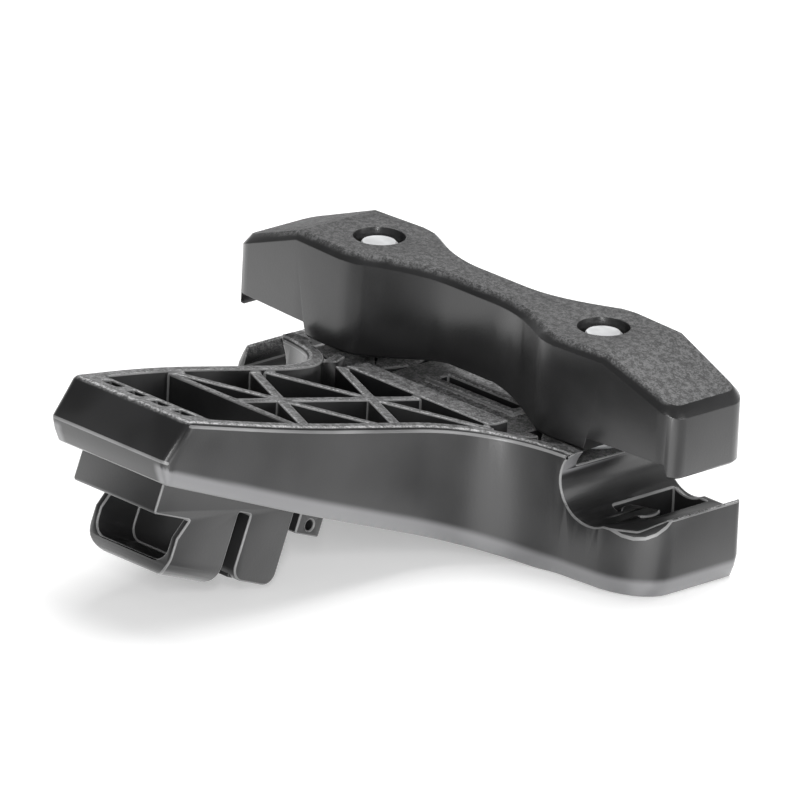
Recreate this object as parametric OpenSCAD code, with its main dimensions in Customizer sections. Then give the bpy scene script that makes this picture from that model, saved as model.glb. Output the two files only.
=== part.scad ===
// Saddle bag mount. A ribbed base and a clamp bar hold the two rails under a bicycle saddle
// between them, and the connector under the base's rear end carries the bag.
// X runs across the saddle, Y towards its nose and Z up, square to the rails.
// The origin lies midway between the rail axes, at the middle of the clamp bar.
// All sizes are in millimetres.

/* [Saddle rails] */
// Distance between the axes of the two rails
rail_spacing = 44; // [43:0.5:45]
// Diameter of a rail
rail_d = 7; // [6.6:0.1:7.4]
// Gap between a rail and the groove that takes it
rail_gap = 0.05; // [0.01:0.01:0.1]

/* [Clamp bar] */
// Overall length of the bar
bar_length = 58.6; // [57.4:0.2:62]
// Height of the bar from its underside to its flat top
bar_height = 9.85; // [9:0.05:12]
// Width of the bar at its ends
bar_end_w = 9.8; // [8:0.1:10.6]
// Width of the bar at its two screw bosses
bar_boss_w = 11.6; // [11:0.1:12.4]
// Width of the bar at its waist
bar_waist_w = 4.8; // [4:0.1:6]
// Length of the flat part of the bar's top
bar_flat_length = 41; // [38:0.5:44]
// Drop of the sloping top from the flat part to an end
bar_end_drop = 3.2; // [2:0.1:4]
// Width of the bevel round the bar's top
bar_bevel = 0.8; // [0.4:0.1:1.2]
// Chamfer round the bar's underside
bar_edge = 0.3; // [0.1:0.05:0.5]
// Rise of the underside at the waist
bar_arch = 1.5; // [1:0.1:2.5]
// Distance from the middle of the bar to the corner of a screw boss
bar_corner_at = 13; // [12.6:0.1:14]
// Length over which a boss's corner is rounded
bar_corner_blend = 1.3; // [0.8:0.1:2]
// Radius of the bar's end corners, seen from above
bar_end_r = 2; // [0.8:0.1:2.4]
// Length of the straight part of the waist
bar_waist_length = 6; // [4:0.5:10]
// Depth of the rail groove in the underside
bar_groove_depth = 1.4; // [1:0.1:2]
// Distance from the rail's axis to the groove's inner end
bar_groove_in = 3; // [2.9:0.1:3.6]
// Width of the pointed lip left at each end of the bar
bar_tip_w = 0.7; // [0.5:0.1:1.5]
// Gap between the clamped bar and the seat under it
bar_gap = 1.2; // [1.1:0.1:2]

/* [Screws] */
// Distance between the two screws
screw_spacing = 30; // [29:0.5:31]
// Outer diameter of the screw thread
screw_d = 4; // [3.8:0.1:4.2]
// Length of a screw under its head
screw_length = 16; // [15:0.5:17]
// Gap round the screw in its threaded insert
thread_gap = 0.05; // [0.02:0.01:0.1]
// Gap round the screw in the base and in its washer
screw_gap = 0.25; // [0.15:0.05:0.35]
// Diameter of the screw head
head_d = 7; // [6.6:0.1:7.4]
// Height of the screw head
head_h = 4; // [3.5:0.1:4.4]
// Width across the flats of the socket in the head
socket_af = 3; // [2.5:0.1:3.5]
// Depth of the socket in the head
socket_depth = 2.2; // [1.8:0.1:2.5]
// Outer diameter of the washer
washer_d = 8; // [7.6:0.1:8.4]
// Thickness of the washer
washer_t = 0.5; // [0.4:0.1:0.8]
// Gap round the washer in its counterbore
counterbore_gap = 0.25; // [0.1:0.05:0.4]
// Depth of the head below the base's underside
head_recess = 1; // [0.1:0.1:1.2]
// Chamfer on the screw's tip and head
screw_chamfer = 0.35; // [0.2:0.05:0.5]

/* [Threaded inserts] */
// Outer diameter of an insert
insert_d = 6.2; // [5.8:0.1:6.8]
// Length of an insert
insert_length = 6; // [5:0.1:6.5]
// Depth of the groove round the middle of an insert
insert_groove = 0.4; // [0.2:0.1:0.5]
// Width of the groove round the middle of an insert
insert_groove_w = 1.6; // [1:0.1:2]
// Thickness of the bar's skin over an insert
insert_cover = 1.9; // [1.5:0.1:2.4]
// Diameter of the hole in the bar's top over the screw
bar_hole_d = 4.9; // [4.8:0.1:5.4]

/* [Base plan] */
// Overall width across the two wings
wing_span = 57.2; // [56.6:0.1:59]
// Distance from the bar's middle to the wings' rear wall
wing_rear = 7.7; // [7.5:0.1:8.5]
// Distance from the bar's middle to the wings' front wall
wing_front = 5.6; // [5.5:0.1:7]
// Reach of the wings' rounded rear corners along the rear wall
wing_corner_w = 6.8; // [4:0.1:7.2]
// Reach of those corners along the wings' ends
wing_corner_length = 4.6; // [2.5:0.1:5]
// Radius of the wings' front outer corners
wing_front_r = 1; // [0.9:0.1:2]
// Distance from the bar's middle to the rear top edge
tongue_length = 44.8; // [42:0.1:48]
// Width of the tongue at its rear edge
tongue_rear_w = 16; // [15:0.1:17.5]
// Width of the tongue where it is parallel
tongue_w = 20.4; // [19.6:0.1:21.4]
// Length of the tongue's tapering rear part
tongue_taper_length = 16.3; // [12:0.1:18]
// Distance from the bar's middle to the start of the flare
flare_start = 18; // [16.5:0.1:20]
// Radius of the tongue's rear corners
tongue_corner_r = 1; // [0.9:0.1:1.6]
// Straight lead of the flare's curve behind its start
flare_lead = 5.5; // [4:0.1:7]
// Width that the flare gains before it turns into the wing
flare_swell = 3.3; // [2.5:0.1:4]

/* [Base section] */
// Height of the wings' rim above the rail axes
rim_height = 2.6; // [2.2:0.1:2.8]
// Slope of the tongue's top, rising to the rear
top_slope = 12.1; // [10:0.1:13]
// Slope of the tongue's underside, rising to the rear
under_slope = 20.2; // [19:0.1:21]
// Depth of the wings' underside below the rail axes
wing_bottom = 9.5; // [8.8:0.1:10]
// Distance behind the bar's middle where the underside turns up
under_knee = 8; // [6:0.1:8.5]
// Distance by which the rear wall leans out at its foot
rear_lean = 2.5; // [2:0.1:3]
// Length over which that lean dies out along the tongue
lean_length = 6; // [5:0.5:9]
// Height of the rounded foot round the base's underside
foot_h = 2.2; // [1.5:0.1:2.4]
// Inset of the underside behind the walls above the foot
foot_inset = 0.55; // [0.4:0.05:0.9]
// Bevel round the base's rim
rim_bevel = 0.4; // [0.2:0.05:0.6]
// Thickness of the outer wall
wall_t = 1.6; // [1.2:0.1:2]
// Thickness of the floor under the pockets
floor_t = 1.6; // [1.2:0.1:2.2]
// Thickness of a rib
rib_t = 1.1; // [0.8:0.1:1.4]
// Depth of the ribs' tops below the rim
rib_drop = 0.3; // [0.1:0.1:0.8]
// Distance between the corners of the rib lattice
rib_pitch = 5.5; // [5:0.1:8]
// Length of the open pocket ahead of the rear land
rear_pocket = 9.6; // [8:0.1:11]
// Length of the solid land behind the rear wall
rear_land = 3.6; // [3:0.1:5]
// Diameter of the boss round a screw
boss_d = 10.4; // [9.8:0.1:11]
// Gap between the bar and the rim behind it
channel_gap = 0.35; // [0.3:0.05:0.6]
// Length of the block under the bar's waist, across the saddle
waist_block_w = 19; // [14:0.1:20]
// Distance by which the block reaches behind the bar's middle
waist_block_rear = 8.8; // [8:0.1:9.4]
// Distance by which the block reaches ahead of the bar's middle
waist_block_front = 4; // [3:0.1:4.2]

/* [Rail grooves] */
// Height of the outer lip's crest above the groove's floor
lip_height = 1.55; // [1.4:0.05:2]
// Width of the lip's crest
lip_crest = 0.4; // [0.3:0.05:0.8]
// Height of the flat land beside the rail above the groove's floor
land_rise = 0.4; // [0.2:0.05:0.6]
// Width of the lip at its foot
lip_w = 2; // [1.2:0.1:2.4]
// Width of the pocket under the rail
rail_pocket_w = 4.4; // [3:0.1:4.6]
// Length of the pocket under the rail
rail_pocket_length = 7.8; // [5:0.1:8.4]
// Depth of that pocket below the groove's floor
rail_pocket_depth = 3; // [2:0.1:4]
// Distance from the rail's axis out to the middle of that pocket
rail_pocket_out = 0.5; // [0:0.1:0.8]
// Thickness of the wall ahead of that pocket
rail_pocket_wall = 0.8; // [0.7:0.05:1.2]
// Diameter of the pillar left standing in that pocket
rail_pillar_d = 3.6; // [3:0.1:4]
// Distance from the bar's middle back to the pillar's axis
rail_pillar_at = 1.6; // [1:0.1:1.8]
// Width of the slanting cut across the wing's rear outer corner
corner_cut_w = 6.2; // [5:0.1:7]
// Length of that cut along the wing's end
corner_cut_length = 4.3; // [3:0.1:5]
// Height of that cut down the wing's corner
corner_cut_h = 4.7; // [3:0.1:5.5]

/* [Slots] */
// Length of the slot under the bar's waist
waist_slot_length = 10; // [8:0.1:11]
// Width of the slots in the base's top
slot_w = 1.2; // [0.8:0.1:1.5]
// Thickness of the rim round the slot under the waist
slot_rim = 0.9; // [0.7:0.1:1.1]
// Height of that rim above the seat
slot_rim_height = 0.35; // [0.1:0.05:0.4]
// Number of slots in the rear land
land_slots = 4; // [2:1:4]
// Length of each slot in the rear land
land_slot_length = 2; // [1.4:0.1:2.4]
// Distance between the slots in the rear land
land_slot_pitch = 3.1; // [2.9:0.1:3.3]
// Depth of the slots
slot_depth = 3; // [2:0.1:3.5]

/* [Connector] */
// Width of the connector
connector_w = 11; // [10:0.1:12]
// Depth of the plinth under the tongue
plinth_h = 3; // [2.5:0.1:3.5]
// Distance from the rear foot to the plinth
plinth_at = 2.3; // [2:0.1:3]
// Radius of the plinth's lower edges
plinth_r = 0.3; // [0.2:0.1:0.8]
// Distance from the rear foot to the hook's back
hook_at = 7; // [6.5:0.1:7.5]
// Length of the hook along the tongue
hook_length = 5.9; // [5:0.1:6.5]
// Depth of the hook below the tongue
hook_h = 8.7; // [8:0.1:9.2]
// Depth of the block below the tongue
block_h = 7.7; // [7:0.1:9.2]
// Reach of the hook's chin behind the hook
chin_reach = 0.9; // [0.5:0.1:1.5]
// Height of the hook's chin
chin_h = 3.8; // [3:0.1:4.4]
// Thickness of the walls beside the scoop in the hook's back
scoop_wall = 0.8; // [0.7:0.05:1.2]
// Thickness of the wall under the scoop
scoop_floor = 1.4; // [1:0.1:1.8]
// Depth of the scoop along the tongue
scoop_depth = 3.9; // [3:0.1:4.2]
// Width of the gap between the hook and the block
hook_gap = 1.6; // [1:0.1:1.8]
// Depth at which that gap starts below the tongue
hook_gap_from = 1.5; // [1:0.1:2]
// Length of the block along the tongue
block_length = 5.4; // [5.4:0.1:6.5]
// Radius of the lower corners of the hook and the block
connector_r = 1.3; // [0.8:0.1:1.6]
// Radius of the hook's lower corner at the gap
hook_front_r = 0.6; // [0.4:0.1:1.3]
// Radius of the hook's lower corners, seen from behind
hook_side_r = 2.2; // [1.5:0.1:3]
// Distance from the block to the guide lug
lug_at = 0.9; // [0.6:0.1:1.5]
// Length of a guide lug
lug_length = 3.1; // [2:0.1:3.5]
// Width of a guide lug
lug_w = 2.4; // [1.8:0.1:3]
// Depth of the guide lugs below the tongue
lug_h = 2.5; // [1.8:0.1:3.5]
// Diameter of the hole through a guide lug
lug_hole_d = 1; // [0.6:0.1:1.2]

/* [Magnet] */
// Width of the magnet across the block
magnet_w = 8; // [6:0.1:8.4]
// Length of the magnet along the tongue
magnet_length = 3.4; // [3:0.1:3.8]
// Height of the magnet
magnet_h = 3; // [2:0.1:4]
// Thickness of the cover under the magnet
cover_t = 0.8; // [0.6:0.1:1.2]
// Step between the magnet's pocket and the cover's seat
cover_step = 0.5; // [0.3:0.05:0.6]

/* [Hidden] */

left = -1;
right = 1;
over = 1;                       // how far a cutter runs past the face it cuts
tangent = 0.2;                  // how far a curve runs past the wall it meets
smooth = 64;                    // sides of a full circle
arc_steps = 8;                  // points round a moulded corner

rail_x = rail_spacing / 2;
groove_r = rail_d / 2 + rail_gap;
screw_x = screw_spacing / 2;

bar_under = groove_r - bar_groove_depth;
bar_top = bar_under + bar_height;
seat_z = bar_under - bar_gap;

bore_d = screw_d + 2 * screw_gap;
counterbore_d = washer_d + 2 * counterbore_gap;
head_low = head_recess - wing_bottom;
head_high = head_low + head_h;
washer_seat = head_high + washer_t;
screw_tip = head_high + screw_length;
insert_top = bar_top - insert_cover;
insert_low = insert_top - insert_length;

back_y = -wing_rear;
rear_y = -tongue_length;
foot_y = rear_y - rear_lean;
wing_x = wing_span / 2;
lip_top = lip_height - groove_r;

block_at = hook_at + hook_length + hook_gap;
lug_start = block_at + block_length + lug_at;
magnet_mid = block_at + block_length / 2;

charcoal = [0.16, 0.16, 0.165];
steel = [0.80, 0.81, 0.82];
brass = [0.78, 0.62, 0.32];
nickel = [0.70, 0.69, 0.67];

// A corner of a mould outline: points on an arc round a centre, from one angle to another
function arc(centre, r, from, to) =
    [for (i = [0:arc_steps]) let (a = from + (to - from) * i / arc_steps)
        centre + r * [cos(a), sin(a)]];

// A point of a cubic curve that leaves a along b and reaches d along c
function curve(a, b, c, d, t) =
    a * pow(1 - t, 3) + 3 * b * t * pow(1 - t, 2) + 3 * c * t * t * (1 - t) + d * pow(t, 3);

// Height of the base's top and underside at a distance y along the mount
function top_at(y) = rim_height + max(0, back_y - y) * tan(top_slope);
function under_at(y) = -wing_bottom + max(0, -under_knee - y) * tan(under_slope);

// Height of the bar's top and underside at a distance x from its middle
function bar_top_at(x) =
    bar_top - bar_end_drop * max(0, abs(x) - bar_flat_length / 2) / (bar_length - bar_flat_length) * 2;
function bar_under_at(x) =
    bar_under + bar_arch * (abs(x) < bar_corner_at ? pow(cos(90 * x / bar_corner_at), 2) : 0);

// A moulding whose outline is mirrored about its long axis. side lists one side's [x, y] points
// with y rising, and each level is [inset, height at y, shift of y at y], from the bottom up.
function outline_normal(side, i) =
    let (
        n = len(side),
        before = i == 0 ? [-side[0].x, side[0].y] : side[i - 1],
        after = i == n - 1 ? [-side[i].x, side[i].y] : side[i + 1],
        t = (after - before) / norm(after - before)
    ) [-t.y, t.x];
function inset_side(side, inset) =
    [for (i = [0:len(side) - 1]) side[i] + inset * outline_normal(side, i)];
function ring(side, level) =
    let (
        flat = inset_side(side, level[0]),
        placed = [for (p = flat) let (y = p.y + level[2](p.y)) [p.x, y, level[1](y)]],
        n = len(placed)
    ) concat(placed, [for (i = [n - 1:-1:0]) [-placed[i].x, placed[i].y, placed[i].z]]);

module moulding(side, levels) {
    n = len(side);
    around = 2 * n;
    top = (len(levels) - 1) * around;
    points = [for (level = levels) each ring(side, level)];
    walls = [for (l = [0:len(levels) - 2]) for (i = [0:around - 1])
        let (a = l * around + i, b = l * around + (i + 1) % around)
            each [[a, a + around, b + around], [a, b + around, b]]];
    bottom_face = [for (i = [0:n - 2]) [i, i + 1, around - 2 - i, around - 1 - i]];
    top_face = [for (f = bottom_face) [for (k = [3:-1:0]) top + f[k]]];
    polyhedron(points, concat(walls, bottom_face, top_face), convexity = 6);
}

// One side of the base in plan: rear corner, tapering tongue, flare into the wing, wing corners
base_side = let (
        rear_hw = tongue_rear_w / 2,
        hw = tongue_w / 2,
        corner_y = rear_y + tongue_corner_r,
        taper_steps = 12,
        flare_steps = 24,
        wall_y = back_y - tangent,
        wall_x = rail_x - groove_r / 2 - tangent
    ) concat(
        arc([rear_hw - tongue_corner_r, corner_y], tongue_corner_r, -90, 0),
        [for (i = [1:taper_steps]) let (t = i / taper_steps)
            [rear_hw + (hw - rear_hw) * sin(90 * t), corner_y + tongue_taper_length * t]],
        [for (i = [0:flare_steps])
            curve([hw, -flare_start], [hw, -flare_start + flare_lead], [hw + flare_swell, wall_y],
                [wall_x, wall_y], i / flare_steps)],
        [for (i = [0:arc_steps]) let (a = 90 * i / arc_steps)
            [wing_x - wing_corner_w * (1 - sin(a)), back_y + wing_corner_length * (1 - cos(a))]],
        arc([wing_x - wing_front_r, wing_front - wing_front_r], wing_front_r, 0, 90)
    );

// One side of the bar in plan, with its length along y: end corner, boss corner, waist, mirrored
bar_half = let (
        end = bar_length / 2,
        end_hw = bar_end_w / 2,
        boss_hw = bar_boss_w / 2,
        waist_hw = bar_waist_w / 2,
        waist_end = bar_waist_length / 2,
        blend = bar_corner_blend,
        neck = bar_corner_at - waist_end,
        neck_steps = 14,
        taper = (boss_hw - end_hw) / (end - bar_corner_at)
    ) concat(
        arc([end_hw - bar_end_r, bar_end_r - end], bar_end_r, -90, 0),
        [[end_hw + taper * (end - bar_flat_length / 2), -bar_flat_length / 2]],
        [[boss_hw - taper * blend, -bar_corner_at - blend]],
        [[boss_hw - blend / 8, -bar_corner_at - blend / 3]],
        [for (i = [1:neck_steps]) let (t = 1 - i / neck_steps, d = waist_end + neck * t)
            [waist_hw + (boss_hw - waist_hw) * (1 - cos(90 * t)), -d]]
    );
bar_side = concat(bar_half, [for (i = [len(bar_half) - 1:-1:0]) [bar_half[i].x, -bar_half[i].y]]);

function no_shift() = function (y) 0;

module base_blank() {
    lean = function (y) -rear_lean * max(0, 1 - (y - rear_y) / lean_length);
    under = function (y) under_at(y);
    bend = function (y) under_at(y) + foot_h / 2;
    foot = function (y) under_at(y) + foot_h;
    shoulder = function (y) top_at(y) - rim_bevel;
    rim = function (y) top_at(y);
    moulding(base_side, [
        [foot_inset, under, lean],
        [foot_inset / 3, bend, lean],
        [0, foot, lean],
        [0, shoulder, no_shift()],
        [rim_bevel, rim, no_shift()]]);
}

// A plate of the given outline in side view, between two distances from the middle plane
module side_plate(half_w, points) {
    rotate([90, 0, 90])
        linear_extrude(2 * half_w, center = true)
            polygon(points);
}

// The space between the floor's upper face and a height above the rim, seen from the side
module above_floor(rise) {
    side_plate(wing_x + over, [
        [foot_y, under_at(foot_y) + floor_t],
        [-under_knee, floor_t - wing_bottom],
        [wing_front + over, floor_t - wing_bottom],
        [wing_front + over, rim_height + rise],
        [back_y, rim_height + rise],
        [foot_y, top_at(foot_y) + rise]]);
}

module rib(from, to) {
    along = to - from;
    translate(from)
        rotate(atan2(along.y, along.x))
            translate([0, -rib_t / 2])
                square([norm(along), rib_t]);
}

// The rib lattice of the tongue and wings in plan, on both sides of the middle rib
module lattice() {
    start = rear_y + rear_land + rear_pocket;
    end = -waist_block_rear;
    bays = floor((end - start) / rib_pitch);
    bay = (end - start) / bays;
    side = tongue_w / 2;
    for (i = [0:bays - 1])
        for (s = [left, right])
            rib([i % 2 == 0 ? s * side : 0, start + i * bay],
                [i % 2 == 0 ? 0 : s * side, start + (i + 1) * bay]);
    rib([-side, start], [side, start]);
    rib([0, start], [0, 0]);
    for (s = [left, right]) {
        rib([s * screw_x, 0], [s * side, end - bay]);
        rib([0, 0], [s * screw_x, 0]);
    }
}

module pocket_plan() {
    difference() {
        intersection() {
            polygon(concat(inset_side(base_side, wall_t),
                [for (i = [len(base_side) - 1:-1:0])
                    let (p = inset_side(base_side, wall_t)[i]) [-p.x, p.y]]));
            translate([groove_r + wall_t - rail_x, rear_y + rear_land])
                square([2 * (rail_x - groove_r - wall_t), tongue_length + wing_front]);
        }
        for (s = [left, right])
            translate([s * screw_x, 0])
                circle(d = boss_d, $fn = smooth);
        translate([-waist_block_w / 2, -waist_block_rear])
            square([waist_block_w, waist_block_rear + waist_block_front]);
    }
}

module pockets() {
    intersection() {
        above_floor(over);
        translate([0, 0, -wing_bottom])
            linear_extrude(wing_bottom + top_at(foot_y) + over)
                difference() {
                    pocket_plan();
                    lattice();
                }
    }
    intersection() {
        difference() {
            above_floor(over);
            above_floor(-rib_drop);
        }
        translate([0, 0, -wing_bottom])
            linear_extrude(wing_bottom + top_at(foot_y) + over)
                pocket_plan();
    }
}

// The channel that the bar lies in, open at its front, with the waist slot's rim left standing
module bar_channel() {
    channel_y = -bar_boss_w / 2 - channel_gap;
    difference() {
        translate([-wing_x, channel_y, seat_z])
            cube([wing_span, wing_front - channel_y + over, rim_height - seat_z + over]);
        translate([0, -slot_w / 2, seat_z])
            cube([waist_slot_length + 2 * slot_rim, slot_w + 2 * slot_rim, 2 * slot_rim_height],
                center = true);
    }
}

// Section of a rail groove, as [across, up] from the rail's axis: a round floor and inner
// wall, a flat land beside the rail and a low lip with a sloping inner face, open above
module groove_section() {
    end = wing_x - rail_x;
    land = land_rise - groove_r;
    circle(groove_r, $fn = smooth);
    polygon([
        [0, land],
        [end - lip_w, land],
        [end - lip_crest, lip_top],
        [end + over, lip_top],
        [end + over, rim_height + over],
        [0, rim_height + over]]);
}

module rail_groove(s) {
    mirror([s == left ? 1 : 0, 0, 0]) {
        translate([rail_x, 0, 0])
            rotate([90, 0, 0])
                linear_extrude(2 * wing_rear + 2 * over, center = true)
                    groove_section();
        rail_pocket();
        corner_cut();
    }
}

// The pocket under the rail, with a pillar left standing in it to carry the rail
module rail_pocket() {
    low = -groove_r - rail_pocket_depth;
    difference() {
        translate([rail_x + rail_pocket_out - rail_pocket_w / 2,
                wing_front - rail_pocket_wall - rail_pocket_length, low])
            cube([rail_pocket_w, rail_pocket_length, -low]);
        translate([rail_x + rail_pocket_out, -rail_pillar_at, low - over])
            cylinder(over - low, d = rail_pillar_d, $fn = smooth);
    }
}

// What is cut off the wing's rear outer corner: a four-faced wedge that runs past the corner,
// with its slanting face through the three ends of the cut
module corner_cut() {
    past = over / 2;
    w = corner_cut_w;
    l = corner_cut_length;
    h = corner_cut_h;
    translate([wing_x + past, back_y - past, lip_top + past])
        polyhedron([
            [0, 0, 0],
            [-past - w * (1 + past / l + past / h), 0, 0],
            [0, past + l * (1 + past / w + past / h), 0],
            [0, 0, -past - h * (1 + past / w + past / l)]],
            [[0, 1, 2], [0, 2, 3], [0, 3, 1], [1, 3, 2]]);
}

module screw_bore(s) {
    translate([s * screw_x, 0, -wing_bottom - over]) {
        cylinder(wing_bottom + rim_height + 2 * over, d = bore_d, $fn = smooth);
        cylinder(wing_bottom + washer_seat + over, d = counterbore_d, $fn = smooth);
    }
}

module slots() {
    land_y = rear_y + rear_land - slot_w;
    translate([-waist_slot_length / 2, -slot_w, seat_z - slot_depth])
        cube([waist_slot_length, slot_w, slot_depth + over]);
    for (i = [0:land_slots - 1])
        translate([(i - (land_slots - 1) / 2) * land_slot_pitch - land_slot_length / 2, land_y - slot_w / 2,
                top_at(land_y) - slot_depth])
            cube([land_slot_length, slot_w, slot_depth + over]);
}

// Places its children in the connector's frame: origin at the middle of the rear foot,
// y forward along the sloping underside and z square to it
module under_tongue() {
    translate([0, foot_y, under_at(foot_y)])
        rotate([-under_slope, 0, 0])
            children();
}

// An upright block of the connector: y from start, depth down, lower corners rounded
module connector_block(start, length, depth, r) {
    side_plate(connector_w / 2, [
        [start, over],
        each arc([start + r, r - depth], r, 180, 270),
        each arc([start + length - r, r - depth], r, 270, 360),
        [start + length, over]]);
}

// The hook: a block with a sloping chin, rounded seen from behind, and a scoop in its back
module hook() {
    r = connector_r;
    chin_y = hook_at - chin_reach;
    front_y = hook_at + hook_length;
    difference() {
        intersection() {
            side_plate(connector_w / 2, [
                [hook_at, over],
                [hook_at, -plinth_h],
                [chin_y, chin_h - hook_h],
                each arc([chin_y + r, r - hook_h], r, 180, 270),
                each arc([front_y - hook_front_r, hook_front_r - hook_h], hook_front_r, 270, 360),
                [front_y, over]]);
            translate([0, front_y + over, 0])
                rotate([90, 0, 0])
                    linear_extrude(front_y + over)
                        hook_back(0, 0);
        }
        translate([0, hook_at + scoop_depth, 0])
            rotate([90, 0, 0])
                linear_extrude(scoop_depth + chin_reach + over)
                    hook_back(scoop_wall, scoop_floor);
    }
}

// The hook seen from behind, inside a wall at its sides and one below it
module hook_back(wall, low_wall) {
    hw = connector_w / 2 - wall;
    low = low_wall - hook_h;
    r = hook_side_r - wall;
    polygon([
        [-hw, over],
        each arc([r - hw, r + low], r, 180, 270),
        each arc([hw - r, r + low], r, 270, 360),
        [hw, over]]);
}

module connector() {
    plinth_length = block_at + block_length - plinth_at;
    under_tongue() {
        difference() {
            union() {
                connector_block(plinth_at, plinth_length, plinth_h, plinth_r);
                hook();
                connector_block(block_at, block_length, block_h, connector_r);
            }
            translate([-connector_w / 2 - over, block_at - hook_gap, -hook_h - over])
                cube([connector_w + 2 * over, hook_gap, hook_h + over - hook_gap_from]);
            magnet_space();
        }
        for (s = [left, right])
            guide_lug(s);
    }
}

// A square lug ahead of the block, with a hole across it
module guide_lug(s) {
    translate([s * (connector_w - lug_w) / 2, lug_start + lug_length / 2, 0])
        difference() {
            translate([-lug_w / 2, -lug_length / 2, -lug_h])
                cube([lug_w, lug_length, lug_h + over]);
            translate([0, 0, lug_hole_d - lug_h])
                rotate([0, 90, 0])
                    cylinder(2 * lug_w, d = lug_hole_d, center = true, $fn = smooth / 2);
        }
}

// The stepped pocket in the block that takes the magnet and its cover
module magnet_space() {
    translate([-magnet_w / 2, magnet_mid - magnet_length / 2, -block_h])
        cube([magnet_w, magnet_length, cover_t + magnet_h]);
    translate([-magnet_w / 2 - cover_step, magnet_mid - magnet_length / 2 - cover_step,
            -block_h - over])
        cube([magnet_w + 2 * cover_step, magnet_length + 2 * cover_step, cover_t + over]);
}

module base() {
    color(charcoal)
        union() {
            difference() {
                base_blank();
                pockets();
                bar_channel();
                slots();
                for (s = [left, right]) {
                    rail_groove(s);
                    screw_bore(s);
                }
            }
            difference() {
                connector();
                above_underside();
            }
        }
}

// Everything above the underside's plane, which the connector stops at
module above_underside() {
    depth = floor_t / 2;
    under_tongue()
        translate([-connector_w, -over, depth])
            cube([2 * connector_w, 2 * tongue_length, 4 * over]);
}

module insert_body(bore) {
    r = insert_d / 2;
    mid = insert_length / 2;
    g = insert_groove_w / 2;
    rotate_extrude($fn = smooth)
        polygon([[bore, 0], [r, 0], [r, mid - g], [r - insert_groove, mid - g],
            [r - insert_groove, mid + g], [r, mid + g], [r, insert_length], [bore, insert_length]]);
}

module threaded_insert(s) {
    color(brass)
        translate([s * screw_x, 0, insert_low])
            insert_body(screw_d / 2 + thread_gap);
}

// The shallow trapezoid groove that lets the bar's underside down over a rail
module bar_groove(s) {
    inner = rail_x - bar_groove_in;
    outer = bar_length / 2 - bar_tip_w;
    run = bar_groove_depth / 2;
    mirror([s == left ? 1 : 0, 0, 0])
        rotate([90, 0, 0])
            linear_extrude(2 * bar_boss_w, center = true)
                polygon([[inner - run, bar_under - run], [inner, bar_under + bar_groove_depth],
                    [outer - run / 2, bar_under + bar_groove_depth], [outer + run / 4, bar_under - run]]);
}

module clamp_bar() {
    under = function (x) bar_under_at(x);
    edge = function (x) bar_under_at(x) + bar_edge;
    shoulder = function (x) bar_top_at(x) - bar_bevel;
    top = function (x) bar_top_at(x);
    color(charcoal)
        difference() {
            rotate(90)
                moulding(bar_side, [
                    [bar_edge, under, no_shift()],
                    [0, edge, no_shift()],
                    [0, shoulder, no_shift()],
                    [bar_bevel, top, no_shift()]]);
            for (s = [left, right]) {
                bar_groove(s);
                translate([s * screw_x, 0, 0]) {
                    translate([0, 0, bar_under - over])
                        cylinder(bar_height / 2, d = bore_d, $fn = smooth);
                    translate([0, 0, insert_low])
                        insert_body(0);
                    translate([0, 0, insert_top - over])
                        cylinder(insert_cover + 2 * over, d = bar_hole_d, $fn = smooth);
                }
            }
        }
}

module clamp_screw(s) {
    c = screw_chamfer;
    r = screw_d / 2;
    hr = head_d / 2;
    color(steel)
        translate([s * screw_x, 0, 0])
            difference() {
                rotate_extrude($fn = smooth)
                    polygon([[0, head_low], [hr - c, head_low], [hr, head_low + c], [hr, head_high],
                        [r, head_high], [r, screw_tip - c], [r - c, screw_tip], [0, screw_tip]]);
                translate([0, 0, head_low - over])
                    cylinder(socket_depth + over, d = socket_af / cos(30), $fn = 6);
            }
}

module screw_washer(s) {
    color(steel)
        translate([s * screw_x, 0, head_high])
            difference() {
                cylinder(washer_t, d = washer_d, $fn = smooth);
                translate([0, 0, -over])
                    cylinder(washer_t + 2 * over, d = bore_d, $fn = smooth);
            }
}

module connector_magnet() {
    color(nickel)
        under_tongue()
            translate([-magnet_w / 2, magnet_mid - magnet_length / 2, cover_t - block_h])
                cube([magnet_w, magnet_length, magnet_h]);
}

module magnet_cover() {
    color(charcoal)
        under_tongue()
            translate([-magnet_w / 2 - cover_step, magnet_mid - magnet_length / 2 - cover_step,
                    -block_h])
                cube([magnet_w + 2 * cover_step, magnet_length + 2 * cover_step, cover_t]);
}

base();
clamp_bar();
clamp_screw(left);  // clamp_screw_left
clamp_screw(right);  // clamp_screw_right
screw_washer(left);  // screw_washer_left
screw_washer(right);  // screw_washer_right
threaded_insert(left);  // threaded_insert_left
threaded_insert(right);  // threaded_insert_right
connector_magnet();
magnet_cover();
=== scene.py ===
# %% [markdown]
# # A saddle bag mount, dressed in Blender
# The mount clamps on the two rails under a bicycle saddle. A ribbed base lies under the
# rails, a waisted bar lies over them, and two screws from below pull the bar down.
# A hooked connector, with a magnet in its block, hangs under the base's rear end.
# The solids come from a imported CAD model, so every piece here is made in its place, in
# metres. This file gives the solids their moulded edges and finishes, and replaces the
# plain screws, washers and inserts by ones with threads, knurls and rounded rims.

# %% Load the frame
import bmesh
import bpy
import numpy as np
from mathutils import Matrix, Vector


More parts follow.
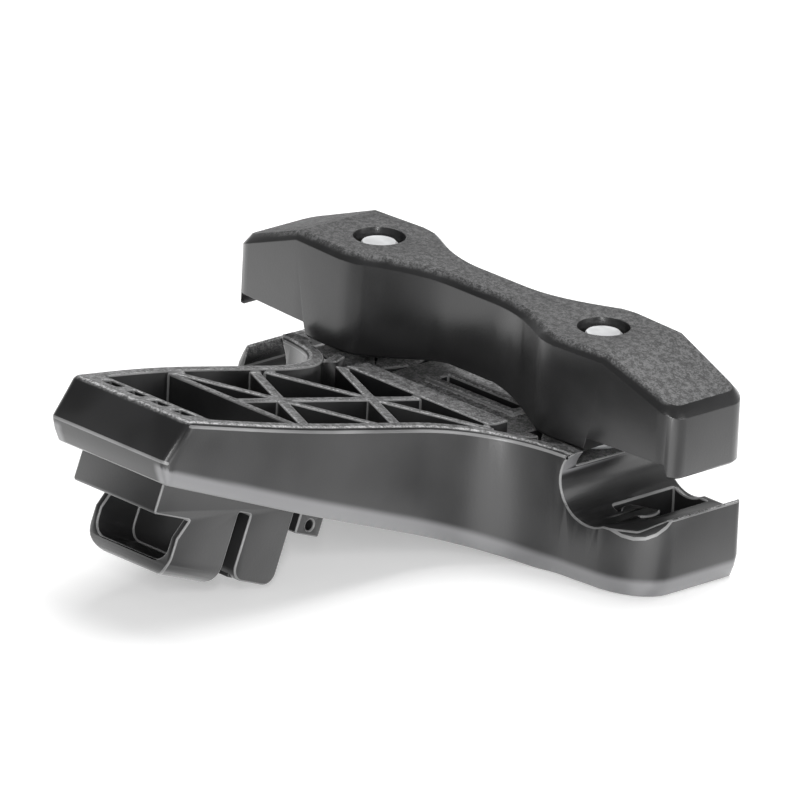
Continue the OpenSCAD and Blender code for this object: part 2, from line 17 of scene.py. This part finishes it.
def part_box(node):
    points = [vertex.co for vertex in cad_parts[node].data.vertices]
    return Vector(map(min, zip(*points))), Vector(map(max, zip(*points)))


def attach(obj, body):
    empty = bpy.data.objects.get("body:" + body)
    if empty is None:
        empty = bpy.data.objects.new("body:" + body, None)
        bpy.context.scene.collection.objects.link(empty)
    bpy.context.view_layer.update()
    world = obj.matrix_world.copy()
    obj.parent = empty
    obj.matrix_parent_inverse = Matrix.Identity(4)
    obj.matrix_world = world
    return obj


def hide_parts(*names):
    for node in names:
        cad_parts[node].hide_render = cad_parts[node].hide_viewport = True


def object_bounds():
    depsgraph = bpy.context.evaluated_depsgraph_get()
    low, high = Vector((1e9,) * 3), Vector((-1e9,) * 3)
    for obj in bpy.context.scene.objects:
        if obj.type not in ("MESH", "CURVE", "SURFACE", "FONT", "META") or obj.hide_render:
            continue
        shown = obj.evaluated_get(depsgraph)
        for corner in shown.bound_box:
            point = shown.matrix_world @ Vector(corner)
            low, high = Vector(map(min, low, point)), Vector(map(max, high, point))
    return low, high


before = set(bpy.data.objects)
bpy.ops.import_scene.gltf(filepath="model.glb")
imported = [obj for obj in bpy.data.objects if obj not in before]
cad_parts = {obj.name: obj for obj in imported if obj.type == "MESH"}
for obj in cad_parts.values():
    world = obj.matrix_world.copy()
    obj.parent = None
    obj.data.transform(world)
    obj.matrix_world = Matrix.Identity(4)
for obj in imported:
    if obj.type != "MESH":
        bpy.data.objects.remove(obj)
cad_box = [list(corner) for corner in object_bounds()]
print("CAD nodes:", ", ".join(sorted(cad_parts)))
print("CAD box in mm:", [[round(c * 1000, 2) for c in corner] for corner in cad_box])

# %% [markdown]
# ## From numbers to a mesh
# A turned piece is a grid. One direction runs round the axis and the other along the
# profile, so the whole piece is two arrays, a radius and a height for every grid point.
# The radius may also change round the axis, which gives threads, knurls and sockets
# without any carving. The first and last rows shrink to a point on the axis, or join
# each other where the piece is a ring.

# %% Helpers for turned pieces
MM = 0.001


def around(count):
    """The angles of a full turn: count equal steps that start at zero."""
    return np.arange(count) * 2 * np.pi / count


def rows(points, count):
    """Each [radius, height] point of a profile, repeated for count angles, as two arrays."""
    points = np.asarray(points, float)
    ones = np.ones(count)
    return np.outer(points[:, 0], ones), np.outer(points[:, 1], ones)


def grid_faces(lines, count, ring):
    """Quads between neighbouring rows, closed round the turn, and closed on itself if ring."""
    last = lines if ring else lines - 1
    i, j = np.meshgrid(np.arange(last), np.arange(count), indexing="ij")
    down, side = (i + 1) % lines, (j + 1) % count
    quads = np.stack([i * count + j, i * count + side, down * count + side, down * count + j], -1)
    return quads.reshape(-1, 4)


def new_piece(name, points, faces, body):
    """Makes a smooth mesh piece from arrays of points in mm and faces, and lets it ride."""
    mesh = bpy.data.meshes.new(name)
    mesh.from_pydata((points * MM).tolist(), [], faces.tolist())
    bm = bmesh.new()
    bm.from_mesh(mesh)
    bmesh.ops.remove_doubles(bm, verts=bm.verts, dist=1e-7)
    bmesh.ops.dissolve_degenerate(bm, edges=bm.edges, dist=1e-8)
    bmesh.ops.recalc_face_normals(bm, faces=bm.faces)
    bm.to_mesh(mesh)
    bm.free()
    mesh.shade_smooth()
    piece = bpy.data.objects.new(name, mesh)
    bpy.context.scene.collection.objects.link(piece)
    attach(piece, body)
    return piece


def turned(name, radius, height, centre, body, ring=False):
    """A grid point lies radius from the axis at its angle, and height along Z."""
    turn = around(radius.shape[1])
    points = np.stack([centre[0] + radius * np.cos(turn), centre[1] + radius * np.sin(turn),
                       height], -1)
    return new_piece(name, points.reshape(-1, 3), grid_faces(*radius.shape, ring), body)


print("helpers ready")

# %% [markdown]
# ## Materials
# The base and the bar are moulded in glass-filled nylon. The mould's walls are satin,
# and its upper faces are spark-eroded, so the plastic takes a fine pitted grain there
# that catches the light as grey specks. The upper faces are also painted a far lighter
# tone than the walls, which is painted light falling from above. One function builds both
# looks and blends them by the surface's own upward direction, which stays with the object.
# The grain and the painted light stop above the rail grooves, whose floors are as smooth
# and as dark as the walls.
# A thin band round the foot, where the walls roll under, is painted paler than the walls, as painted
# light bounced up from the white floor.
# The metals are plain: steel with a pale zinc coat on the screws, zinc plate on the
# washers, brass on the inserts and nickel on the magnet.

# %% A small kit for node materials
def material(name):
    """A new material with an empty tree, its shader and the object's coordinates."""
    mat = bpy.data.materials.new(name)
    mat.use_nodes = True
    tree = mat.node_tree
    shader = tree.nodes["Principled BSDF"]
    where = tree.nodes.new("ShaderNodeTexCoord")
    return mat, tree, shader, where


def node(tree, kind, **values):
    """Adds a node, sets its properties and inputs, and joins inputs given as sockets."""
    made = tree.nodes.new("ShaderNode" + kind)
    for key, value in values.items():
        if key in made.inputs.keys():
            target = made.inputs[key]
            if isinstance(value, bpy.types.NodeSocket):
                tree.links.new(value, target)
            else:
                target.default_value = value
        else:
            setattr(made, key, value)
    return made


def noise(tree, where, size, detail=2.0, rough=0.5):
    """Soft noise whose blobs are about size mm across."""
    made = node(tree, "TexNoise", Vector=where, Scale=1.0 / (size * MM), Detail=detail,
                Roughness=rough)
    return made.outputs["Fac"]


def remap(tree, value, low, high, to_low, to_high):
    """Stretches low..high of a value to to_low..to_high, clamped, along a soft step."""
    made = node(tree, "MapRange", interpolation_type="SMOOTHSTEP", Value=value)
    for slot_name, number in (("From Min", low), ("From Max", high),
                              ("To Min", to_low), ("To Max", to_high)):
        made.inputs[slot_name].default_value = number
    return made.outputs["Result"]


def calc(tree, operation, a, b):
    """One sum on two values, where each is a number or a socket."""
    made = tree.nodes.new("ShaderNodeMath")
    made.operation = operation
    for index, value in enumerate((a, b)):
        if isinstance(value, bpy.types.NodeSocket):
            tree.links.new(value, made.inputs[index])
        else:
            made.inputs[index].default_value = value
    return made.outputs[0]


def vector_calc(tree, operation, first, second=None):
    """One sum on vectors, where each is a socket or three numbers, as its node."""
    made = tree.nodes.new("ShaderNodeVectorMath")
    made.operation = operation
    for index, value in enumerate((first, second)):
        if isinstance(value, bpy.types.NodeSocket):
            tree.links.new(value, made.inputs[index])
        elif value:
            made.inputs[index].default_value = value
    return made


def blend_colours(tree, factor, first, second):
    """Mixes two colours, each a colour or a socket, by a factor socket."""
    made = tree.nodes.new("ShaderNodeMix")
    made.data_type = "RGBA"
    tree.links.new(factor, made.inputs["Factor"])
    for index, value in ((6, first), (7, second)):
        if isinstance(value, bpy.types.NodeSocket):
            tree.links.new(value, made.inputs[index])
        else:
            made.inputs[index].default_value = (*value, 1)
    return made.outputs[2]


print("material kit ready")

# %% Where the grain, the painted light on top and the painted bounce light on the foot lie
GRAIN_FROM = (-2.9 * MM, -2.2 * MM)
CONNECTOR_SIDE = (6.0 * MM, 6.8 * MM)
CONNECTOR_FRONT = (-27 * MM, -24 * MM)
FOOT_LEAVES_WALL, FOOT_MEETS_FLOOR = (-0.22, -0.10), (-0.92, -0.80)


def upper_share(tree, split, up, turn):
    """How far a point is on an upper face, with its grain and painted light from above: its upward part
    within turn, and above the grooves.
    """
    high = remap(tree, split.outputs["Z"], *GRAIN_FROM, 0.0, 1.0)
    return calc(tree, "MULTIPLY", remap(tree, up, *turn, 0.0, 1.0), high)


def floor_bounce_share(tree, split, up):
    """How far a point is on the rolled foot, which gets painted bounce light: it looks down and out,
    clear of the connector.
    """
    rolled = calc(tree, "MULTIPLY", remap(tree, up, *FOOT_LEAVES_WALL, 1.0, 0.0),
                  remap(tree, up, *FOOT_MEETS_FLOOR, 0.0, 1.0))
    aside = calc(tree, "ABSOLUTE", split.outputs["X"], 0.0)
    clear = calc(tree, "MAXIMUM", remap(tree, aside, *CONNECTOR_SIDE, 0.0, 1.0),
                 remap(tree, split.outputs["Y"], *CONNECTOR_FRONT, 0.0, 1.0))
    return calc(tree, "MULTIPLY", rolled, clear)


print("grain starts at", round(GRAIN_FROM[0] / MM, 1), "mm")

# %% Glass-filled nylon
def nylon(name, wall, top, turn, grain=1.0, bounce_light_factor=1.0):
    """Charcoal nylon: satin walls, pitted upper faces painted lighter as lit from above, and a foot
    painted paler by the last factor, as light bounced up from the floor.

    A face counts as upper where its upward part rises from the first to the second of turn.
    """
    mat, tree, shader, where = material(name)
    place = where.outputs["Object"]
    up = node(tree, "SeparateXYZ", Vector=where.outputs["Normal"]).outputs["Z"]
    split = node(tree, "SeparateXYZ", Vector=place)
    upper = upper_share(tree, split, up, turn)
    painted_bounce = floor_bounce_share(tree, split, up)
    fine = noise(tree, place, 0.20, 3.0, 0.62)
    coarse = noise(tree, place, 0.60, 4.0, 0.75)
    specks = calc(tree, "ADD", calc(tree, "MULTIPLY", fine, 0.5), calc(tree, "MULTIPLY", coarse, 0.5))
    cloud = noise(tree, place, 7.0, 2.0, 0.5)

    dark = tuple(0.72 * c for c in wall)
    light = tuple(1.28 * c for c in wall)
    wall_colour = blend_colours(tree, remap(tree, cloud, 0.3, 0.7, 0.0, 1.0), dark, light)
    # The foot's pale tone is painted light bounced up from the white floor.
    bounce_colour = tuple(bounce_light_factor * c for c in wall)
    wall_colour = blend_colours(tree, painted_bounce, wall_colour, bounce_colour)
    # The upper faces' tone, several times the walls', is painted light from above; the specks on it are
    # grain.
    pits = tuple(0.35 * c for c in top)
    tips = tuple(1.9 * c for c in top)
    speck_mask = remap(tree, specks, 0.42, 0.60, 0.0, 1.0)
    lit_top_colour = blend_colours(tree, speck_mask, pits, tips)
    tree.links.new(blend_colours(tree, upper, wall_colour, lit_top_colour), shader.inputs["Base Color"])

    rough_wall = remap(tree, cloud, 0.25, 0.75, 0.28, 0.35)
    rough_top = remap(tree, fine, 0.3, 0.7, 0.50, 0.72)
    extra = calc(tree, "MULTIPLY", calc(tree, "SUBTRACT", rough_top, rough_wall), upper)
    tree.links.new(calc(tree, "ADD", rough_wall, extra), shader.inputs["Roughness"])

    relief = calc(tree, "ADD", calc(tree, "MULTIPLY", fine, 0.6), specks)
    strength = calc(tree, "ADD", calc(tree, "MULTIPLY", upper, 0.65 * grain), 0.10 * grain)
    bump = node(tree, "Bump", Height=relief, Distance=0.00008, Strength=strength)
    tree.links.new(bump.outputs["Normal"], shader.inputs["Normal"])
    shader.inputs["IOR"].default_value = 1.53
    return mat


# Each nylon's upper tone lies far above its wall tone: painted light from above.
# The base's foot is painted twelve times as pale as its walls, as bounce light from the floor.
base_nylon = nylon("charcoal_nylon_base", (0.018, 0.018, 0.0185), (0.130, 0.130, 0.131), (0.72, 0.90),
                   bounce_light_factor=12.0)
# The base's rolled edges get this far paler nylon: a painted highlight along every rib and rim edge.
highlight_edge_nylon = nylon("rolled_nylon_edge_painted_highlight", (0.200, 0.200, 0.201), (0.260, 0.260, 0.261), (0.72, 0.90), 0.4)
bar_nylon = nylon("charcoal_nylon_bar", (0.020, 0.020, 0.0205), (0.074, 0.074, 0.075), (0.68, 0.80))
cover_nylon = nylon("smooth_nylon_cover", (0.028, 0.028, 0.029), (0.032, 0.032, 0.033), (0.72, 0.93), 0.2)
print("nylon made")

# %% The metals
def metal(name, colour, smooth, rough, streak, blotch, depth, bare=1.0):
    """A metal with tool lines stacked along Z, and blotches that change gloss and tint.

    The share bare is polished metal; the rest is a matt coat that scatters light.
    """
    mat, tree, shader, where = material(name)
    place = where.outputs["Object"]
    squeeze = node(tree, "Mapping", Vector=place)
    squeeze.inputs["Scale"].default_value = (0.15, 0.15, 1.0)
    lines = noise(tree, squeeze.outputs["Vector"], streak, 3.0, 0.6)
    patches = noise(tree, place, blotch, 3.0, 0.55)
    dull = tuple(0.86 * c for c in colour)
    tree.links.new(blend_colours(tree, remap(tree, patches, 0.35, 0.7, 0.0, 1.0), dull, colour),
                   shader.inputs["Base Color"])
    gloss = calc(tree, "ADD", remap(tree, patches, 0.3, 0.7, smooth, rough),
                 remap(tree, lines, 0.3, 0.7, -0.04, 0.04))
    tree.links.new(gloss, shader.inputs["Roughness"])
    bump = node(tree, "Bump", Height=lines, Distance=0.00001, Strength=depth)
    tree.links.new(bump.outputs["Normal"], shader.inputs["Normal"])
    shader.inputs["Metallic"].default_value = bare
    return mat


screw_steel = metal("zinc_flaked_steel", (0.86, 0.87, 0.88), 0.34, 0.46, 0.10, 2.5, 0.4, 0.45)
washer_zinc = metal("zinc_plate", (0.76, 0.77, 0.79), 0.28, 0.42, 0.30, 1.2, 0.2)
insert_brass = metal("knurled_brass", (0.78, 0.60, 0.30), 0.22, 0.36, 0.12, 1.8, 0.4)
magnet_nickel = metal("nickel_plate", (0.70, 0.69, 0.67), 0.10, 0.22, 0.40, 2.0, 0.15)
print("metals made")

# %% [markdown]
# ## The two mouldings, the magnet and its cover
# Plastic never has a knife edge: the mould's corners leave a small radius, and that
# radius is what draws the thin lines along the ribs, the rim and the bar.
# The CAD solid has sharp corners there, so each solid is copied, its loose triangles
# are merged into whole faces, and a narrow bevel rolls over every real corner. A face
# pierced by many pockets is split into simple ones, so that none closes a pocket.
# Corners under 30 degrees are part of a curve and stay as they are. On the base the
# rolled edges take a paler nylon of their own, a painted highlight that draws them as pale lines.

# %% Moulded edges
FLAT, SHARP = np.radians(0.6), np.radians(30)
MANY_CORNERS = 40


def moulded(node_name, body, mat, width, edge=None):
    """A merged copy of a CAD solid with its corners rolled over by width mm.

    Where edge is given, it is the rolled faces' own material, which on the base paints a
    highlight on them, and every corner gets the full width. Otherwise the narrowest face limits it.
    """
    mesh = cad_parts[node_name].data.copy()
    mesh.name = node_name + "_moulded"
    bm = bmesh.new()
    bm.from_mesh(mesh)
    bmesh.ops.remove_doubles(bm, verts=bm.verts, dist=2e-6)
    bmesh.ops.dissolve_limit(bm, angle_limit=FLAT, verts=bm.verts, edges=bm.edges)
    pierced = [face for face in bm.faces if len(face.verts) > MANY_CORNERS and face.normal.z > 0.9]
    bmesh.ops.connect_verts_concave(bm, faces=pierced)
    bm.to_mesh(mesh)
    bm.free()
    mesh.normals_split_custom_set([(0, 0, 0)] * len(mesh.loops))
    mesh.shade_smooth()
    mesh.materials.clear()
    mesh.materials.append(mat)
    if edge:
        mesh.materials.append(edge)
    piece = bpy.data.objects.new(node_name + "_moulded", mesh)
    bpy.context.scene.collection.objects.link(piece)
    roll = piece.modifiers.new("rolled_edges", "BEVEL")
    roll.width = width * MM
    roll.segments = 2
    roll.limit_method = "ANGLE"
    roll.angle_limit = SHARP
    roll.harden_normals = True
    roll.use_clamp_overlap = edge is None
    roll.material = 1 if edge else -1
    roll.miter_outer = "MITER_ARC"
    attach(piece, body)
    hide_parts(node_name)
    print(piece.name, len(mesh.polygons), "faces before rolling")


moulded("base", "base", base_nylon, 0.16, edge=highlight_edge_nylon)
moulded("clamp_bar", "clamp_bar", bar_nylon, 0.24)
moulded("magnet_cover", "base", cover_nylon, 0.08)
moulded("connector_magnet", "base", magnet_nickel, 0.15)

# %% [markdown]
# ## The clamp screws
# Each screw is an M4 socket head screw, put in from below. Its thread is a ridge that
# climbs one pitch a turn, so the radius at a point depends on its height less its share
# of a turn. The head has a knurled rim for the fingers and a hexagonal socket, whose
# corner distance is the flat's distance divided by the cosine of the angle from the
# nearest flat. Everything is one closed surface from the socket's floor to the tip.

# %% Screws with threads
screw_low, screw_high = (np.array(c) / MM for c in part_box("clamp_screw_left"))
screw_at = (screw_low + screw_high) / 2
head_r = (screw_high[0] - screw_low[0]) / 2
head_low, screw_tip = screw_low[2], screw_high[2]
THREAD_R, THREAD_DEPTH, PITCH = 2.0, 0.42, 0.7
HEAD_H, SOCKET_AF, SOCKET_DEPTH, EDGE = 4.0, 3.0, 2.2, 0.35


def hexagon(turn, flats):
    """Radius of a hexagon of that width across flats, at each angle."""
    return flats / 2 / np.cos((turn + np.pi / 6) % (np.pi / 3) - np.pi / 6)


def thread(turn, height, tip):
    """Crest radius less a rounded V groove that climbs one pitch a turn, cut back at the tip."""
    share = (height / PITCH - turn / (2 * np.pi)) % 1.0
    groove = np.clip(1.12 * (1 - np.abs(2 * share - 1)) - 0.06, 0, 1)
    radius = THREAD_R - THREAD_DEPTH * np.sin(groove * np.pi / 2) ** 2
    return np.minimum(radius, THREAD_R - EDGE - 0.1 + (tip - height))


def clamp_screw(name, centre, node_name, body):
    """Socket floor, socket wall, head, neck, thread and tip, as one grid of radius and height."""
    turn = around(72)
    flat = hexagon(turn, SOCKET_AF)
    ones = np.ones_like(turn)
    low, top = head_low, head_low + HEAD_H
    knurl = 0.07 * np.abs(np.cos(turn * 18))
    radius = [0 * ones, 0.5 * ones, flat * 0.98, flat, flat, flat + 0.12]
    height = [low + SOCKET_DEPTH + 0.5, low + SOCKET_DEPTH + 0.2, low + SOCKET_DEPTH,
              low + SOCKET_DEPTH - 0.15, low + 0.15, low]
    for r, z in ((head_r - EDGE, 0), (head_r - 0.5 * EDGE, 0.12 * EDGE), (head_r - 0.1, 0.5),
                 (head_r, 0.7)):
        radius.append(r * ones)
        height.append(low + z)
    for z in np.linspace(0.8, HEAD_H - 0.7, 4):
        radius.append(head_r - knurl)
        height.append(low + z)
    for r, z in ((head_r, HEAD_H - 0.6), (head_r, HEAD_H - 0.15), (head_r - 0.15, HEAD_H),
                 (THREAD_R + 0.15, HEAD_H), (THREAD_R - 0.02, HEAD_H + 0.15),
                 (THREAD_R - 0.02, HEAD_H + 0.5)):
        radius.append(r * ones)
        height.append(low + z)
    radius, height = np.array(radius), np.outer(height, ones)
    climb = np.outer(np.arange(top + 0.55, screw_tip - 0.001, PITCH / 12), ones)
    threads = np.minimum(thread(turn[None, :], climb, screw_tip), THREAD_R - 0.001)
    tip_r, tip_z = rows([[THREAD_R - EDGE - 0.1, screw_tip - 0.001], [1.2, screw_tip],
                         [0.6, screw_tip], [0, screw_tip]], len(turn))
    radius, height = np.vstack([radius, threads, tip_r]), np.vstack([height, climb, tip_z])
    piece = turned(name, radius, height, centre, body)
    piece.data.materials.append(screw_steel)
    piece.data.set_sharp_from_angle(angle=np.radians(40))
    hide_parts(node_name)
    print(name, len(piece.data.polygons), "faces")


clamp_screw("screw_left_threaded", (screw_at[0], 0), "clamp_screw_left", "screw_left")
clamp_screw("screw_right_threaded", (-screw_at[0], 0), "clamp_screw_right", "screw_right")

# %% [markdown]
# ## Washers
# A stamped washer has a soft upper rim and a slightly rolled lower one. Its section is a
# small rounded oblong, and the washer is that section carried round the axis, so the
# last row of the grid joins the first.

# %% Two washers
washer_low, washer_high = (np.array(c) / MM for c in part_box("screw_washer_left"))


def oblong(inner, outer, low, high, r, steps=5):
    """A closed section with rounded corners: radius and height of each point round it."""
    quarter = np.linspace(0, np.pi / 2, steps)
    corners = ((outer - r, high - r, 0), (inner + r, high - r, 1), (inner + r, low + r, 2),
               (outer - r, low + r, 3))
    return np.vstack([np.stack([x + r * np.cos(quarter + k * np.pi / 2),
                                z + r * np.sin(quarter + k * np.pi / 2)], -1)
                      for x, z, k in corners])


for side, name in ((-1, "left"), (1, "right")):
    section = oblong(2.26, (washer_high[0] - washer_low[0]) / 2, washer_low[2], washer_high[2], 0.12)
    radius, height = rows(section, 64)
    washer = turned("washer_" + name + "_stamped", radius, height, (side * abs(screw_at[0]), 0),
                    "base", ring=True)
    washer.data.materials.append(washer_zinc)
    washer.data.set_sharp_from_angle(angle=np.radians(50))
    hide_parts("screw_washer_" + name)
print("washers made")

# %% [markdown]
# ## Threaded inserts
# The brass inserts are moulded into the bar. Their outside is knurled in diamonds: two
# families of shallow grooves that wind opposite ways, with a plain groove round the
# middle that the nylon flows into. The bore is left just clear of the screw.

# %% Two knurled inserts
insert_low, insert_high = (np.array(c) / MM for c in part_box("threaded_insert_left"))
insert_r = (insert_high[0] - insert_low[0]) / 2
low, high = insert_low[2], insert_high[2]
middle = (low + high) / 2
BORE_R, MOUTH_R, RIM, HALF_BAND, BAND_DEPTH = 2.05, 2.25, 0.2, 0.8, 0.4


def diamonds(turn, height, depth=0.14, count=22, slant=2.1):
    """Groove depth where two opposite helices of rounded grooves cross."""
    one = np.abs(np.cos(count / 2 * turn + slant * height))
    two = np.abs(np.cos(count / 2 * turn - slant * height))
    return depth * (1 - np.minimum(one, two)) ** 2


for side, name in ((-1, "left"), (1, "right")):
    turn = around(110)
    outer_z = np.concatenate([np.linspace(low + RIM, middle - HALF_BAND, 16),
                              [middle - HALF_BAND + 0.01, middle + HALF_BAND - 0.01],
                              np.linspace(middle + HALF_BAND, high - RIM, 16)])
    plain = np.abs(outer_z - middle) < HALF_BAND - 0.005
    skin = insert_r - diamonds(turn[None, :], outer_z[:, None]) - BAND_DEPTH * plain[:, None]
    inner_r, inner_z = rows([[BORE_R, high - RIM], [BORE_R, low + RIM], [MOUTH_R, low],
                             [insert_r - RIM, low]], len(turn))
    lid_r, lid_z = rows([[insert_r - RIM, high], [MOUTH_R, high]], len(turn))
    radius = np.vstack([inner_r, skin, lid_r])
    height = np.vstack([inner_z, np.outer(outer_z, np.ones(len(turn))), lid_z])
    insert = turned("insert_" + name + "_knurled", radius, height, (side * abs(screw_at[0]), 0),
                    "clamp_bar", ring=True)
    insert.data.materials.append(insert_brass)
    insert.data.set_sharp_from_angle(angle=np.radians(40))
    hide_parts("threaded_insert_" + name)
print("inserts made")

# %% [markdown]
# ## Floor and world
# The mount stands on a plain white floor with a soft shadow. The floor adds a little
# light of its own for the camera, so it reads as white paper without putting more light
# on the object. Its glow for glossy rays is a painted reflection: glossy walls mirror it
# as in a small studio, with a painted bright window behind the camera and a painted dark
# card on either side of the window.
# The world is white to the camera, a softer grey to the matt surfaces, and darker
# towards the top in what glossy surfaces mirror.

# %% Floor
floor_z = cad_box[0][2] - 0.05 * MM
reach = 3.0
corners = np.array([[-reach, -reach], [reach, -reach], [reach, reach], [-reach, reach]])
floor_mesh = bpy.data.meshes.new("floor")
floor_mesh.from_pydata([(x, y, floor_z) for x, y in corners], [], [(0, 1, 2, 3)])
floor = bpy.data.objects.new("floor", floor_mesh)
bpy.context.scene.collection.objects.link(floor)
floor_mat, floor_tree, floor_shader, _ = material("white_paper")
floor_shader.inputs["Base Color"].default_value = (0.88, 0.88, 0.88, 1)
floor_shader.inputs["Roughness"].default_value = 0.9
floor_shader.inputs["Specular IOR Level"].default_value = 0.0
TO_CAMERA = (0.72, -0.69, 0)
PLAIN, PAINTED_CARD, PAINTED_WINDOW = 0.95, 0.80, 1.8
SHADOW_REACH, PAPER_EDGE = 0.12, 0.60

# The floor's glow for glossy rays is a painted reflection: a bright window towards the camera and dark
# cards beside it.
incoming = node(floor_tree, "NewGeometry").outputs["Incoming"]
level = vector_calc(floor_tree, "MULTIPLY", incoming, (-1, -1, 0)).outputs["Vector"]
heading = vector_calc(floor_tree, "NORMALIZE", level).outputs["Vector"]
facing = vector_calc(floor_tree, "DOT_PRODUCT", heading, TO_CAMERA).outputs["Value"]
painted_card = remap(floor_tree, facing, 0.06, 0.42, 0.0, PAINTED_CARD)
painted_window = remap(floor_tree, facing, 0.78, 0.97, 0.0, PAINTED_WINDOW)
painted_reflection_glow = calc(floor_tree, "ADD", calc(floor_tree, "SUBTRACT", PLAIN, painted_card), painted_window)

paper = floor_tree.nodes.new("ShaderNodeTexCoord").outputs["Object"]
away = vector_calc(floor_tree, "LENGTH", paper).outputs["Value"]
seen_glow = remap(floor_tree, away, SHADOW_REACH, PAPER_EDGE, 0.32, 1.0)
floor_path = floor_tree.nodes.new("ShaderNodeLightPath")
glow = calc(floor_tree, "ADD",
            calc(floor_tree, "MULTIPLY", floor_path.outputs["Is Camera Ray"], seen_glow),
            calc(floor_tree, "MULTIPLY", floor_path.outputs["Is Glossy Ray"], painted_reflection_glow))
floor_shader.inputs["Emission Color"].default_value = (1, 1, 1, 1)
floor_tree.links.new(glow, floor_shader.inputs["Emission Strength"])
floor_mesh.materials.append(floor_mat)
print("floor at", round(floor_z / MM, 2), "mm")

# %% World
world = bpy.data.worlds.new("studio")
bpy.context.scene.world = world
world.use_nodes = True
tree = world.node_tree
background = tree.nodes["Background"]
path = tree.nodes.new("ShaderNodeLightPath")
direction = tree.nodes.new("ShaderNodeTexCoord").outputs["Generated"]
rise = node(tree, "SeparateXYZ", Vector=direction).outputs["Z"]
mirrored = remap(tree, rise, 0.0, 0.5, 0.8, 0.12)
lit = remap(tree, rise, -0.1, 0.6, 0.45, 0.22)
seen = calc(tree, "MAXIMUM", path.outputs["Is Camera Ray"], path.outputs["Is Transmission Ray"])
glossy = calc(tree, "MULTIPLY", path.outputs["Is Glossy Ray"], mirrored)
strength = calc(tree, "MAXIMUM", calc(tree, "MAXIMUM", seen, glossy),
                calc(tree, "MULTIPLY", path.outputs["Is Diffuse Ray"], lit))
background.inputs["Color"].default_value = (1, 1, 1, 1)
tree.links.new(strength, background.inputs["Strength"])
print("world made")

# %% [markdown]
# ## Lamps
# Dark plastic shows its form by what it mirrors. A wide lamp overhead draws the grain of
# the upper faces. A narrow upright strip stands in front of the nearest corner, and
# draws a bright line down each upright curve that faces it, such as the flare. A weak
# lamp on the right lifts the side walls a little above the rear ones.

# %% Three area lamps
def lamp(name, place, aim, width, height, watts):
    """An area lamp of width by height metres at place, turned to face the point aim."""
    data = bpy.data.lights.new(name, "AREA")
    data.shape = "RECTANGLE"
    data.size, data.size_y, data.energy = width, height, watts
    made = bpy.data.objects.new(name, data)
    made.location = place
    made.rotation_euler = (Vector(aim) - Vector(place)).to_track_quat("-Z", "Y").to_euler()
    made.visible_camera = False
    bpy.context.scene.collection.objects.link(made)


middle_of_part = (0.0, -0.018, 0.0)
lamp("overhead", (-0.10, 0.25, 0.75), middle_of_part, 0.6, 0.6, 6.0)
lamp("corner_strip", (0.58, -0.60, 0.26), middle_of_part, 0.05, 0.56, 4.4)
lamp("side_fill", (0.9, 0.25, 0.30), middle_of_part, 0.5, 0.4, 2.5)
print("lamps lit")

# %% [markdown]
# ## Camera
# The view is the photograph's: from behind and to the right, about 20 degrees above the
# rails, with a long lens and a slight roll. It was worked out from matching points, and
# is kept as three angles. Only the framing is closer, so that the mount fills the image.

# %% Camera
AZIMUTH, ELEVATION, ROLL = np.radians([46.038, 20.388, 2.564])
PIXELS_PER_MM, IMAGE_WIDTH, DISTANCE = 10.9, 800, 1.5
right = np.array([np.cos(AZIMUTH), np.sin(AZIMUTH), 0])
back = np.array([np.sin(AZIMUTH) * np.cos(ELEVATION), -np.cos(AZIMUTH) * np.cos(ELEVATION),
                 np.sin(ELEVATION)])
up = np.cross(back, right)
rolled_right = np.cos(ROLL) * right + np.sin(ROLL) * up
rolled_up = np.cos(ROLL) * up - np.sin(ROLL) * right
ACROSS, BELOW, BAR_TOP = -8.33 * MM, -10.96 * MM, 12.03 * MM
target = np.array([0, 0, BAR_TOP]) + ACROSS * rolled_right + BELOW * rolled_up

camera_data = bpy.data.cameras.new("photo_camera")
camera_data.sensor_width = 36
camera_data.lens = PIXELS_PER_MM / MM * DISTANCE * camera_data.sensor_width / IMAGE_WIDTH
camera_data.clip_end = 20
camera = bpy.data.objects.new("photo_camera", camera_data)
basis = Matrix(np.stack([rolled_right, rolled_up, back], 1).tolist())
camera.matrix_world = Matrix.Translation(Vector(target + DISTANCE * back)) @ basis.to_4x4()
bpy.context.scene.collection.objects.link(camera)
bpy.context.scene.camera = camera
bpy.context.scene.view_settings.view_transform = "Standard"
print("lens", round(camera_data.lens), "mm")
